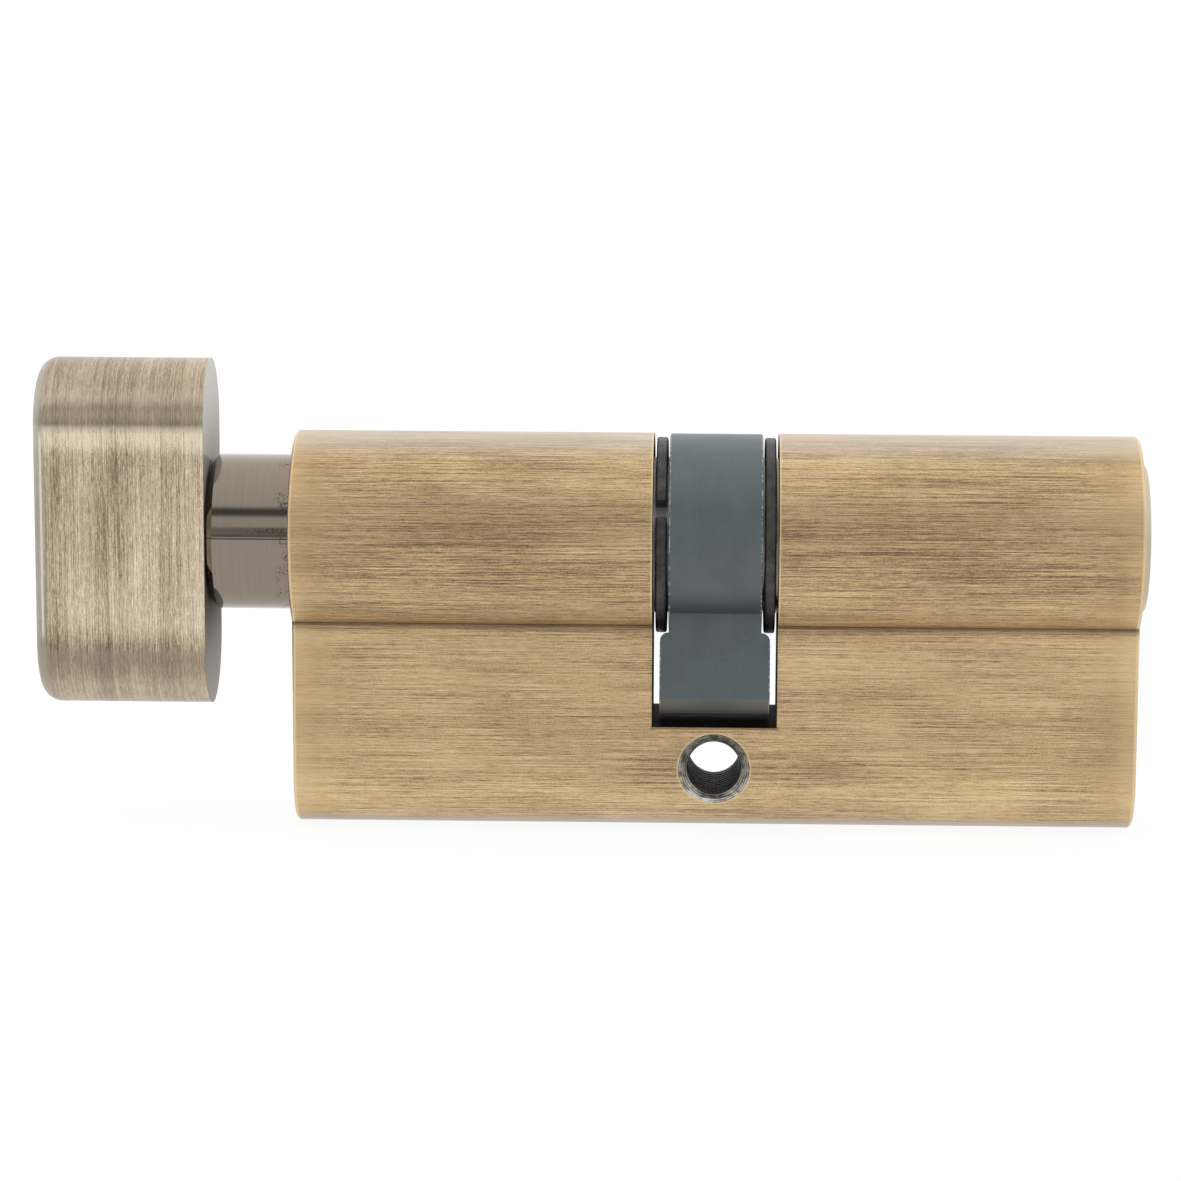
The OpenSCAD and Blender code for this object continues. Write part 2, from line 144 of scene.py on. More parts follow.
@dataclass(frozen=True)
class Slope:
    """Where a look sets in: none at the start, all of its strength at the end."""

    start: float
    end: float
    strength: float = 1.0


@dataclass(frozen=True)
class Band:
    """A strip from low to high that fades out over the soft distance on both sides."""

    low: float
    high: float
    soft: float
    strength: float = 1.0


class NodeTree:
    """A node tree with short ways to add and link nodes."""

    def __init__(self, tree: bpy.types.NodeTree) -> None:
        """Clears the tree."""
        self.tree = tree
        self.tree.nodes.clear()

    def feed(self, socket: Socket, value: Union[Value, Sequence[float]]) -> None:
        """Links or sets an input.

        Args:
            socket: The input.
            value: A socket to link, or the value to set.
        """
        if isinstance(value, bpy.types.NodeSocket):
            self.tree.links.new(value, socket)
        else:
            socket.default_value = value

    def add(self, kind: str, *values: Union[Value, Sequence[float]]) -> bpy.types.Node:
        """Adds a node and fills its first inputs.

        Args:
            kind: The node's type without its common first word.
            *values: What the inputs get, in their order.

        Returns:
            The node.
        """
        node = self.tree.nodes.new("ShaderNode" + kind)
        for socket, value in zip(node.inputs, values):
            self.feed(socket, value)
        return node

    def math(self, operation: str, first: Value, second: Value = 0.0, clamp: bool = False) -> Socket:
        """A sum, product or other function of one or two values.

        Args:
            operation: The operation's name.
            first: The first value.
            second: The second value.
            clamp: True to keep the result from 0 to 1.

        Returns:
            The result.
        """
        node = self.add("Math", first, second)
        node.operation = operation
        node.use_clamp = clamp
        return node.outputs[0]

    def times(self, first: Value, second: Value) -> Socket:
        """The product of two values."""
        return self.math("MULTIPLY", first, second)

    def plus(self, first: Value, second: Value) -> Socket:
        """The sum of two values."""
        return self.math("ADD", first, second)

    def less(self, first: Value, second: Value) -> Socket:
        """The first value less the second."""
        return self.math("SUBTRACT", first, second)

    def ramp(self, value: Value, stops: Stops) -> Socket:
        """A colour that follows a value.

        Args:
            value: The value, 0 to 1.
            stops: Pairs of place and colour, or of place and grey level.

        Returns:
            The colour.
        """
        node = self.add("ValToRGB", value)
        elements = node.color_ramp.elements
        while len(elements) < len(stops):
            elements.new(0.5)
        for element, (place, colour) in zip(elements, stops):
            element.position = place
            rgb = colour if isinstance(colour, tuple) else (colour,) * 3
            element.color = (*rgb, 1.0)
        return node.outputs["Color"]

    def blend(self, share: Value, base: Socket, other: Socket) -> Socket:
        """One shader turning into another: 0 for the base, 1 for the other."""
        return self.add("MixShader", share, base, other).outputs[0]


class NodeBoard(NodeTree):
    """A metal's node tree, with what the finishes need."""

    def __init__(self, material: bpy.types.Material) -> None:
        """Clears the material's tree and adds the shader.

        Args:
            material: The material to dress.
        """
        material.use_nodes = True
        super().__init__(material.node_tree)
        self.shader = self.add("BsdfPrincipled")
        self.add("OutputMaterial", self.shader.outputs["BSDF"])
        self.place = self.add("TexCoord").outputs["Object"]
        self.x, self.y, self.z = self.add("SeparateXYZ", self.place).outputs
        self.slant = 0.0

    def rises(self, value: Value, low: float, high: float) -> Socket:
        """0 below low, 1 above high and smooth between them; the other way round if low is the larger.

        Args:
            value: The value looked at.
            low: Where it starts to rise.
            high: Where it has risen.

        Returns:
            The share, 0 to 1.
        """
        first, last = (0.0, 1.0) if low < high else (1.0, 0.0)
        node = self.add("MapRange", value, min(low, high), max(low, high), first, last)
        node.interpolation_type = "SMOOTHSTEP"
        node.clamp = True
        return node.outputs["Result"]

    def slope(self, value: Value, slope: Slope) -> Socket:
        """How far a look has set in at a value.

        Args:
            value: The value looked at.
            slope: Where the look sets in, and its strength.

        Returns:
            The share, 0 to the slope's strength.
        """
        share = self.rises(value, slope.start, slope.end)
        return share if slope.strength == 1.0 else self.times(share, slope.strength)

    def band(self, value: Value, band: Band) -> Socket:
        """How far a value lies in a strip.

        Args:
            value: The value looked at.
            band: The strip, and its strength.

        Returns:
            The share, 0 to the strip's strength.
        """
        share = self.times(self.rises(value, band.low - band.soft, band.low),
                           self.rises(value, band.high + band.soft, band.high))
        return share if band.strength == 1.0 else self.times(share, band.strength)

    def around(self, axis: str, centre: Sequence[float]) -> Socket:
        """Distance from a line along an axis.

        Args:
            axis: "X", "Y" or "Z".
            centre: The line's place on the other two axes, in their order.

        Returns:
            The distance.
        """
        others = [s for name, s in zip("XYZ", (self.x, self.y, self.z)) if name != axis]
        offsets = [self.less(socket, middle) for socket, middle in zip(others, centre)]
        return self.math("SQRT", self.plus(*(self.times(offset, offset) for offset in offsets)))

    def noise(self, pattern: Pattern) -> Socket:
        """A pattern on the object's own coordinates.

        Args:
            pattern: The pattern.

        Returns:
            Its value, about 0.5 with a spread of 0.1.
        """
        stretch = self.add("Mapping", self.place)
        scales = [pattern.scale * (1.0 if across else pattern.drawn) for across in pattern.grain.value]
        shift = (pattern.shift, pattern.shift * 1.7, pattern.shift * 2.3)
        for name, setting in (("Scale", scales), ("Rotation", (0.0, self.slant, 0.0)), ("Location", shift)):
            stretch.inputs[name].default_value = setting
        node = self.add("TexNoise", stretch.outputs[0])
        node.inputs["Scale"].default_value = 1.0
        node.inputs["Detail"].default_value = pattern.detail
        return node.outputs["Fac"]

    def weighted(self, pattern: Socket, weight: float) -> Socket:
        """A pattern's distance from its middle, by a weight."""
        return self.times(self.less(pattern, NOISE_MIDDLE), weight)

    def layered(self, level: Value, patterns: Sequence[Pattern], sockets: Sequence[Socket]) -> Value:
        """Adds patterns to a level, each by its own weight.

        Args:
            level: The level without them.
            patterns: The patterns, for their weights.
            sockets: The patterns' values.

        Returns:
            The level with them.
        """
        for pattern, socket in zip(patterns, sockets):
            level = self.plus(level, self.weighted(socket, pattern.weight))
        return level

    def mix(self, share: Value, base: Union[Socket, Colour], other: Union[Socket, Colour]) -> Socket:
        """One colour turning into another.

        Args:
            share: 0 for the base, 1 for the other.
            base: The base colour.
            other: The other colour.

        Returns:
            The mixed colour.
        """
        node = self.add("Mix", share)
        node.data_type = "RGBA"
        for socket, colour in ((node.inputs[6], base), (node.inputs[7], other)):
            self.feed(socket, (*colour, 1.0) if isinstance(colour, tuple) else colour)
        return node.outputs[2]

    def tint(self, colour: Socket, *tints: tuple[Value, Union[Socket, Colour]]) -> Socket:
        """Mixes other colours into a colour, one after the other.

        Args:
            colour: The colour at the start.
            *tints: Pairs of share and colour.

        Returns:
            The colour at the end.
        """
        for share, other in tints:
            colour = self.mix(share, colour, other)
        return colour

    def bump(self, height: Socket, depth: float, strength: float) -> None:
        """Raises the surface by a pattern.

        Args:
            height: The pattern.
            depth: Its depth in metres.
            strength: How strongly it shows.
        """
        node = self.add("Bump")
        node.inputs["Strength"].default_value = strength
        node.inputs["Distance"].default_value = depth
        self.feed(node.inputs["Height"], height)
        self.feed(self.shader.inputs["Normal"], node.outputs["Normal"])

    def stretch_gloss(self, amount: float, across: bool) -> None:
        """Draws the highlights out across the grain.

        Args:
            amount: How far, 0 to 1.
            across: True for grain along X, whose highlights run round X; False for the other way.
        """
        self.shader.inputs["Anisotropic"].default_value = amount
        if across:
            node = self.add("VectorMath", self.add("NewGeometry").outputs["Normal"], (1.0, 0.013, 0.017))
            node.operation = "CROSS_PRODUCT"
        else:
            node = self.add("CombineXYZ", 1.0, 0.011)
        self.feed(self.shader.inputs["Tangent"], node.outputs[0])

    def set(self, **settings: Union[Value, Sequence[float]]) -> None:
        """Sets the shader's own inputs.

        Args:
            **settings: Input names with _ for a space, and their values.
        """
        for name, value in settings.items():
            self.feed(self.shader.inputs[name.replace("_", " ").title().replace("Ior", "IOR")], value)


@dataclass(frozen=True)
class Finish:
    """A finish with a name; each kind fills the node board in its own way."""

    name: str

    def paint(self, board: NodeBoard) -> None:
        """Fills the node board.

        Args:
            board: The material's node board.
        """
        raise NotImplementedError

    def material(self) -> bpy.types.Material:
        """The finish as a material, made once.

        Returns:
            The material.
        """
        found = bpy.data.materials.get(self.name)
        if found is None:
            found = bpy.data.materials.new(self.name)
            self.paint(NodeBoard(found))
        return found


@dataclass(frozen=True)
class BrushedBrass(Finish):
    """Antique brass whose strokes run from dark patina to pale bare metal."""

    darkest: Colour = srgb(92, 74, 54)
    dark: Colour = srgb(143, 117, 86)
    light: Colour = srgb(198, 168, 124)
    palest: Colour = srgb(232, 205, 160)
    lacquer: float = 0.4
    lacquer_roughness: float = 0.3
    lacquer_ior: float = 1.45
    gloss_stretch: float = 0.7
    scratch_depth: float = 0.01 * MM
    scratch_strength: float = 0.4

    def tones(self, board: NodeBoard, level: Socket) -> Socket:
        """The brass's colour.

        Args:
            board: The material's node board.
            level: How far the patina is brushed away, with painted light and shade, 0 to 1.

        Returns:
            The colour.
        """
        tones = (self.darkest, self.dark, self.light, self.palest)
        return board.ramp(level, list(zip(TONE_PLACES, tones)))


@dataclass(frozen=True)
class BrushedBodyBrass(BrushedBrass):
    """Brass brushed along the barrel, with dark patina left where the brush can't reach, and painted light
    and shade.
    """

    recess: Colour = srgb(44, 39, 34)
    raw: Colour = srgb(176, 146, 92)
    # Painted reflections: greyish light along the top of the barrel and along the foot.
    top_painted_reflection: Colour = srgb(202, 194, 180)
    foot_painted_reflection: Colour = srgb(182, 168, 156)
    threaded: Colour = srgb(40, 35, 32)
    reamed_dark: Colour = srgb(112, 108, 100)
    reamed_light: Colour = srgb(206, 203, 195)
    belt_slant: float = math.radians(0.5)
    roughness: tuple[tuple[float, float], ...] = ((0.2, 0.5), (0.8, 0.33))
    slot_roughness: float = 0.3
    hole_polish: float = 0.15
    thread_roughness: float = 0.35
    thread_dullness: float = 0.8
    strokes: tuple[Pattern, ...] = (
        Pattern(19000, Grain.ALONG_X, drawn=0.05, weight=0.62, detail=1.0),
        Pattern(17000, Grain.ALONG_X, drawn=0.006, weight=0.9, shift=7.0, detail=1.0),
        Pattern(15000, Grain.ALONG_X, drawn=0.4, weight=0.42, shift=3.0, detail=1.0),
        Pattern(8000, Grain.ALONG_X, drawn=0.02, weight=0.1, shift=4.0, detail=1.0),
    )
    clouds: tuple[Pattern, ...] = (
        Pattern(420, Grain.ALONG_X, drawn=0.18, weight=0.27, shift=2.0),
        Pattern(130, weight=0.2, shift=6.0),
    )
    end_strokes: Pattern = Pattern(9000, Grain.ALONG_Z, drawn=0.03, weight=0.7, shift=12.0, detail=1.0)
    reamer_cloud: Pattern = Pattern(1500, shift=5.0)
    reamer_waves: float = 36000.0
    reamer_weight: float = 0.12
    calm_ends: Slope = Slope(BODY_HALF - 5.5 * MM, BODY_HALF - 0.5 * MM, 0.55)
    # Paler towards the ends.
    paler_ends: Slope = Slope(BODY_HALF - 2.2 * MM, BODY_HALF - 0.3 * MM, 0.07)
    end_face: Slope = Slope(BODY_HALF - 0.03 * MM, BODY_HALF - 0.01 * MM)
    # Painted highlight along the rims of the ends.
    end_rim_highlight: Band = Band(BODY_HALF - 0.26 * MM, BODY_HALF - 0.14 * MM, 0.08 * MM, 0.8)
    # Where the painted reflections at the top and the foot set in.
    top: Slope = Slope(AXIS_Z + 6.6 * MM, AXIS_Z + 8.4 * MM, 0.55)
    foot: Slope = Slope(FOOT_Z + 1.3 * MM, FOOT_Z + 0.5 * MM, 0.85)
    # Painted shade around the crease, and a thin line of patina in it.
    crease_shade: Band = Band(CREASE_Z - 0.25 * MM, CREASE_Z + 0.05 * MM, 0.45 * MM, 0.4)
    crease_line: Band = Band(CREASE_Z - 0.12 * MM, CREASE_Z + 0.1 * MM, 0.08 * MM, 0.6)
    above_crease: Slope = Slope(CREASE_Z, CREASE_Z + 1.0 * MM)
    # Painted highlight along the rims of the cut-out.
    cutout_rim_highlight: Band = Band(CUTOUT_HALF + 0.06 * MM, CUTOUT_HALF + 0.14 * MM, 0.05 * MM, 0.7)
    cutout_shade: Band = Band(CUTOUT_FLOOR_Z - 0.15 * MM, CUTOUT_FLOOR_Z, 0.12 * MM, 0.6)
    cutout_width: Slope = Slope(CUTOUT_HALF + 0.2 * MM, CUTOUT_HALF + 0.1 * MM)
    cutout_side: Slope = Slope(CUTOUT_HALF + 0.03 * MM, CUTOUT_HALF + 0.01 * MM)
    cutout_floor: Slope = Slope(CUTOUT_FLOOR_Z - 0.03 * MM, CUTOUT_FLOOR_Z - 0.01 * MM)
    # Painted highlight round the rim of the countersink.
    hole_rim_highlight: Band = Band(SINK_R, SINK_R + 0.08 * MM, 0.07 * MM, 0.55)
    hole_wall: Slope = Slope(SINK_R, SINK_R - 0.08 * MM)
    thread_wall: Slope = Slope(2.32 * MM, 2.24 * MM)
    plug_bore: Slope = Slope(BORE_R + 0.04 * MM, BORE_R + 0.01 * MM)

    def level(self, board: NodeBoard, distance: Socket, strokes: Sequence[Socket]) -> Socket:
        """How far the patina is brushed away, with painted light and shade over the height.

        Args:
            board: The material's node board.
            distance: Distance from the middle of the body, along it.
            strokes: The values of the finish's strokes.

        Returns:
            The level, 0 to 1.
        """
        level = board.layered(0.0, self.strokes, strokes)
        level = board.times(level, board.less(1.0, board.slope(distance, self.calm_ends)))
        level = board.layered(level, self.clouds, [board.noise(cloud) for cloud in self.clouds])
        end_lines = board.weighted(board.noise(self.end_strokes), self.end_strokes.weight)
        level = board.plus(level, board.times(end_lines, board.slope(distance, self.end_face)))
        # Paler towards the ends.
        level = board.plus(level, board.slope(distance, self.paler_ends))
        height = board.math("DIVIDE", board.less(board.z, FOOT_Z), BODY_HEIGHT)
        # The ramp over the height adds painted light and shade.
        return board.math("ADD", level, board.ramp(height, BODY_PATINA_AND_PAINTED_SHADE), clamp=True)

    def edged(self, board: NodeBoard, colour: Socket, distance: Socket) -> Socket:
        """Adds painted reflections at the top and the foot, the crease's painted shade and patina line,
        painted rim highlights on the ends and the cut-out, and painted shade at the cut-out's floor edge.

        Args:
            board: The material's node board.
            colour: The colour without them.
            distance: Distance from the middle of the body, along it.

        Returns:
            The colour with them.
        """
        # Painted highlight along the cut-out's rims, and painted shade at the edge of its floor.
        cutout_rim_highlight = board.times(board.band(distance, self.cutout_rim_highlight),
                                 board.slope(board.z, self.above_crease))
        cutout_shade = board.times(board.band(board.z, self.cutout_shade),
                                   board.slope(distance, self.cutout_width))
        # Painted reflections, painted rim highlights, painted shade at the crease and at the cut-out's
        # floor edge, and the crease's patina line.
        return board.tint(
            colour,
            (board.slope(board.z, self.top), self.top_painted_reflection),
            (board.slope(board.z, self.foot), self.foot_painted_reflection),
            (board.band(distance, self.end_rim_highlight), self.palest),
            (board.band(board.z, self.crease_shade), self.darkest),
            (board.band(board.z, self.crease_line), self.darkest),
            (cutout_rim_highlight, self.palest),
            (cutout_shade, self.darkest),
        )

    def reamed(self, board: NodeBoard, radius: Socket) -> Socket:
        """The colour of the hole's countersink, with the rings that the reamer leaves.

        Args:
            board: The material's node board.
            radius: Distance from the hole's axis.

        Returns:
            The colour.
        """
        rings = board.times(board.math("SINE", board.times(radius, self.reamer_waves)), self.reamer_weight)
        level = board.plus(rings, board.noise(self.reamer_cloud))
        return board.ramp(level, ((0.36, self.reamed_dark), (0.62, self.reamed_light)))

    def paint(self, board: NodeBoard) -> None:
        """Fills the node board.

        Args:
            board: The material's node board.
        """
        board.slant = self.belt_slant
        distance = board.math("ABSOLUTE", board.x)
        radius = board.around("Y", (0.0, 0.0))
        strokes = [board.noise(pattern) for pattern in self.strokes]
        level = self.level(board, distance, strokes)
        slot = board.times(board.slope(distance, self.cutout_side), board.slope(board.z, self.cutout_floor))
        hole = board.slope(radius, self.hole_wall)
        thread = board.slope(radius, self.thread_wall)
        colour = board.tint(
            self.edged(board, self.tones(board, level), distance),
            # Painted highlight round the countersink's rim.
            (board.band(radius, self.hole_rim_highlight), self.palest),
            (hole, self.reamed(board, radius)),
            (thread, self.threaded),
            (slot, self.recess),
            (board.slope(board.around("X", (0.0, AXIS_Z)), self.plug_bore), self.raw),
        )
        rough = board.plus(board.ramp(level, self.roughness), board.times(slot, self.slot_roughness))
        rough = board.less(rough, board.times(hole, self.hole_polish))
        rough = board.plus(rough, board.times(thread, self.thread_roughness))
        lacquer = board.times(board.less(1.0, board.math("MAXIMUM", slot, hole)), self.lacquer)
        metal = board.less(1.0, board.times(thread, self.thread_dullness))
        board.set(base_color=colour, metallic=metal, roughness=rough, coat_weight=lacquer,
                  coat_roughness=self.lacquer_roughness, coat_ior=self.lacquer_ior)
        board.bump(board.plus(strokes[0], strokes[1]), self.scratch_depth, self.scratch_strength)
        board.stretch_gloss(self.gloss_stretch, across=True)


@dataclass(frozen=True)
class BrushedKnobBrass(BrushedBrass):
    """Greyer brass brushed around the knob, with painted light and shade over its height and a polished
    inner face with a painted reflection.
    """

    darkest: Colour = srgb(96, 84, 66)
    dark: Colour = srgb(148, 132, 108)
    light: Colour = srgb(198, 181, 152)
    palest: Colour = srgb(246, 234, 206)
    edge_grey: Colour = srgb(168, 162, 150)
    # Painted reflection on the round ends.
    cap_painted_reflection: Colour = srgb(166, 154, 143)
    # Painted highlight along the fillet.
    fillet_highlight_colour: Colour = srgb(242, 238, 228)
    lacquer: float = 0.35
    lacquer_roughness: float = 0.25
    gloss_stretch: float = 0.6
    roughness: float = 0.4
    inner_polish: float = 0.3
    strokes: tuple[Pattern, ...] = (
        Pattern(16000, Grain.AROUND_X, drawn=0.08, weight=0.65, detail=1.0),
        Pattern(13000, Grain.AROUND_X, drawn=0.01, weight=0.6, shift=7.0, detail=1.0),
        Pattern(14000, Grain.AROUND_X, drawn=0.4, weight=0.4, shift=3.0, detail=1.0),
        Pattern(6000, Grain.AROUND_X, drawn=0.012, weight=0.28, shift=4.0, detail=1.0),
        Pattern(1800, Grain.AROUND_X, drawn=0.012, weight=0.2, shift=9.0),
        Pattern(450, Grain.AROUND_X, drawn=0.05, weight=0.45, shift=2.0),
    )
    cloud: Pattern = Pattern(170, weight=0.22, shift=6.0)
    end_strokes: Pattern = Pattern(10000, Grain.ALONG_Z, drawn=0.02, weight=1.4, shift=12.0, detail=1.0)
    end_cloud_weight: float = 0.3
    round_end: Slope = Slope(KNOB_HALF - 5.6 * MM, KNOB_HALF - 5.0 * MM)
    round_end_calm: float = 0.25
    # How much of the painted reflection greys the round ends.
    round_end_reflection_share: float = 0.3
    fillet: Slope = Slope(KNOB_OUTER_X + 1.3 * MM, KNOB_OUTER_X + 0.7 * MM, 0.7)
    # Where the painted highlight along the fillet lies, and over which share of the height.
    fillet_highlight: Band = Band(KNOB_OUTER_X + 0.68 * MM, KNOB_OUTER_X + 0.8 * MM, 0.08 * MM, 0.7)
    fillet_highlight_height: Band = Band(0.24, 0.78, 0.04)
    outer_face: Slope = Slope(KNOB_OUTER_X + 0.05 * MM, KNOB_OUTER_X + 0.01 * MM)
    inner_face: Slope = Slope(KNOB_INNER_X - 0.04 * MM, KNOB_INNER_X - 0.01 * MM)

    def end_colour(self, board: NodeBoard, cloud: Socket) -> Socket:
        """The colour of the outer face, brushed upright.

        Args:
            board: The material's node board.
            cloud: The value of the finish's cloud.

        Returns:
            The colour.
        """
        strokes = board.weighted(board.noise(self.end_strokes), self.end_strokes.weight)
        level = board.plus(strokes, board.weighted(cloud, self.end_cloud_weight))
        return board.ramp(board.plus(level, NOISE_MIDDLE), ((0.3, self.dark), (0.7, self.light)))

    def paint(self, board: NodeBoard) -> None:
        """Fills the node board.

        Args:
            board: The material's node board.
        """
        strokes = [board.noise(pattern) for pattern in self.strokes]
        cloud = board.noise(self.cloud)
        round_end = board.slope(board.math("ABSOLUTE", board.less(board.z, AXIS_Z)), self.round_end)
        height = board.math("DIVIDE", board.less(board.z, AXIS_Z - KNOB_HALF), 2 * KNOB_HALF)
        level = board.layered(0.0, self.strokes, strokes)
        level = board.times(level, board.less(1.0, board.times(round_end, self.round_end_calm)))
        level = board.plus(level, board.weighted(cloud, self.cloud.weight))
        # The ramp over the height paints shade on the round ends and a highlight band at the top of the
        # flat.
        level = board.math("ADD", level, board.ramp(height, KNOB_PATINA_AND_PAINTED_SHADE), clamp=True)
        # Painted highlight along the fillet.
        line = board.times(board.band(board.x, self.fillet_highlight), board.band(height, self.fillet_highlight_height))
        inner = board.slope(board.x, self.inner_face)
        # Painted reflection greys the round ends, a painted highlight runs along the fillet, and a painted
        # reflection covers the inner face.
        colour = board.tint(
            self.tones(board, level),
            (board.times(round_end, self.round_end_reflection_share), self.cap_painted_reflection),
            (board.slope(board.x, self.fillet), self.edge_grey),
            (line, self.fillet_highlight_colour),
            (board.slope(board.x, self.outer_face), self.end_colour(board, cloud)),
            (inner, board.ramp(height, KNOB_PAINTED_REFLECTION)),
        )
        outside = board.less(1.0, inner)
        metal = board.less(1.0, board.times(inner, board.ramp(height, KNOB_DULL)))
        rough = board.less(self.roughness, board.times(inner, self.inner_polish))
        board.set(base_color=colour, metallic=metal, roughness=rough,
                  coat_weight=board.times(outside, self.lacquer), coat_roughness=self.lacquer_roughness,
                  coat_ior=self.lacquer_ior, specular_ior_level=0.0, specular_tint=(0.9, 0.89, 0.87, 1.0))
        scratches = board.times(board.plus(strokes[0], strokes[1]), outside)
        board.bump(scratches, self.scratch_depth, self.scratch_strength)
        board.stretch_gloss(self.gloss_stretch, across=False)


@dataclass(frozen=True)
class TurnedMetal(Finish):
    """Bare metal with the fine rings that turning leaves."""

    light: Colour
    dark: Colour
    grain: Grain
    roughness: float
    ring_scale: float = 6000.0

    def paint(self, board: NodeBoard) -> None:
        """Fills the node board.

        Args:
            board: The material's node board.
        """
        patterns = (Pattern(self.ring_scale, self.grain, weight=0.6), Pattern(260, weight=0.4, shift=3.0))
        rings, cloud = (board.noise(pattern) for pattern in patterns)
        level = board.layered(NOISE_MIDDLE, patterns, (rings, cloud))
        colour = board.ramp(level, ((0.32, self.dark), (0.62, self.light)))
        rough = board.ramp(cloud, ((0.3, self.roughness * 0.8), (0.7, self.roughness * 1.2)))
        board.set(base_color=colour, metallic=1.0, roughness=rough)
        board.bump(rings, depth=0.004 * MM, strength=0.4)


@dataclass(frozen=True)
class PolishedNickel(Finish):
    """Dark nickel, polished where the neck shows and plain inside the body, with dry spots of lacquer."""

    light: Colour = srgb(140, 130, 119)
    dark: Colour = srgb(133, 123, 112)
    spot: Colour = srgb(48, 42, 37)
    plain: Colour = srgb(228, 227, 222)
    polish: float = 0.07
    spot_strength: float = 0.75
    spot_roughness: float = 0.25
    plain_roughness: float = 0.45
    plain_dullness: float = 0.5
    rings: Pattern = Pattern(5200, Grain.AROUND_X)
    specks: Pattern = Pattern(6500, shift=3.0, detail=3.0)
    patches: Pattern = Pattern(600, shift=11.0)
    scuffs: Pattern = Pattern(5000, shift=8.0)
    speck_edge: Slope = Slope(0.52, 0.57)
    patch_edge: Slope = Slope(0.47, 0.6)
    scuff_edge: Slope = Slope(0.47, 0.56)
    near_body: Band = Band(-BODY_HALF - 0.7 * MM, -BODY_HALF, 0.9 * MM)
    scuff_height: Band = Band(0.85 * MM, 1.15 * MM, 0.2 * MM)
    scuff_reach: Slope = Slope(-BODY_HALF - 5.5 * MM, -BODY_HALF - 0.5 * MM)
    # A dark line along the neck at one height.
    lengthwise_dark_line: Band = Band(0.3 * MM, 0.36 * MM, 0.05 * MM)
    in_body: Slope = Slope(-BODY_HALF + 0.05 * MM, -BODY_HALF + 0.3 * MM)

    def spots(self, board: NodeBoard) -> Socket:
        """Where the specks, the scuffs and the dark line along the neck lie.

        Args:
            board: The material's node board.

        Returns:
            The share, 0 to 1.
        """
        patches = board.slope(board.noise(self.patches), self.patch_edge)
        specks = board.times(board.slope(board.noise(self.specks), self.speck_edge),
                             board.times(board.band(board.x, self.near_body), patches))
        height = board.less(board.z, AXIS_Z)
        scuffs = board.times(board.band(height, self.scuff_height), board.slope(board.x, self.scuff_reach))
        scuffs = board.times(scuffs, board.slope(board.noise(self.scuffs), self.scuff_edge))
        return board.math("MAXIMUM", specks, board.math("MAXIMUM", scuffs, board.band(height, self.lengthwise_dark_line)))

    def paint(self, board: NodeBoard) -> None:
        """Fills the node board.

        Args:
            board: The material's node board.
        """
        rings = board.noise(self.rings)
        spots = self.spots(board)
        inside = board.slope(board.x, self.in_body)
        colour = board.tint(
            board.ramp(rings, ((0.2, self.dark), (0.8, self.light))),
            (board.times(spots, self.spot_strength), self.spot),
            (inside, self.plain),
        )
        rough = board.plus(self.polish, board.times(inside, self.plain_roughness))
        rough = board.plus(rough, board.times(spots, self.spot_roughness))
        metal = board.less(1.0, board.times(inside, self.plain_dullness))
        board.set(base_color=colour, metallic=metal, roughness=rough)
        board.bump(rings, depth=0.001 * MM, strength=0.2)


@dataclass(frozen=True)
class PhosphatedSteel(Finish):
    """Blue-grey phosphate on the sintered cam: matt, with a fine crystalline grain."""

    light: Colour = srgb(87, 98, 103)
    dark: Colour = srgb(72, 82, 86)
    # Painted shade where the ring meets the lug.
    painted_root_shade: Colour = srgb(44, 50, 53)
    worn: Colour = srgb(100, 100, 96)
    chip: Colour = srgb(178, 180, 178)
    layers: tuple[Pattern, ...] = (
        Pattern(9000, weight=0.5, detail=3.0),
        Pattern(300, weight=0.4, shift=8.0),
        Pattern(2600, Grain.AROUND_X, weight=0.1, shift=5.0),
    )
    chip_strength: float = 0.75
    chipping: Pattern = Pattern(3800, shift=2.0, detail=3.0)
    chip_edge: Slope = Slope(0.5, 0.56)
    # Where the painted shade at the lug's root lies.
    lug_root_shade: Band = Band(AXIS_Z - 6.2 * MM, AXIS_Z - 5.6 * MM, 2.6 * MM, 0.8)
    off_lug: Slope = Slope(8.56 * MM, 8.5 * MM)
    lug_tip: Slope = Slope(14.9 * MM, 14.98 * MM, 0.8)
    ring_edge: Band = Band(3.74 * MM, 3.82 * MM, 0.02 * MM)
    off_lug_edge: Slope = Slope(8.8 * MM, 8.6 * MM)
    lug_edge: Band = Band(4.43 * MM, 4.505 * MM, 0.015 * MM)

    def paint(self, board: NodeBoard) -> None:
        """Fills the node board.

        Args:
            board: The material's node board.
        """
        layers = [board.noise(pattern) for pattern in self.layers]
        level = board.layered(NOISE_MIDDLE, self.layers, layers)
        radius = board.around("X", (0.0, AXIS_Z))
        distance = board.math("ABSOLUTE", board.x)
        # Painted shade at the lug's root.
        root_shade = board.times(board.band(board.z, self.lug_root_shade), board.slope(radius, self.off_lug))
        rims = board.times(board.band(distance, self.ring_edge), board.slope(radius, self.off_lug_edge))
        rims = board.math("MAXIMUM", rims, board.band(distance, self.lug_edge))
        chips = board.times(rims, board.slope(board.noise(self.chipping), self.chip_edge))
        colour = board.tint(
            board.ramp(level, ((0.35, self.dark), (0.65, self.light))),
            (root_shade, self.painted_root_shade),
            (board.slope(radius, self.lug_tip), self.worn),
            (board.times(chips, self.chip_strength), self.chip),
        )
        board.set(base_color=colour, metallic=0.25, roughness=0.5, coat_weight=0.25, coat_roughness=0.35,
                  coat_ior=1.5)
        board.bump(layers[0], depth=0.006 * MM, strength=0.5)


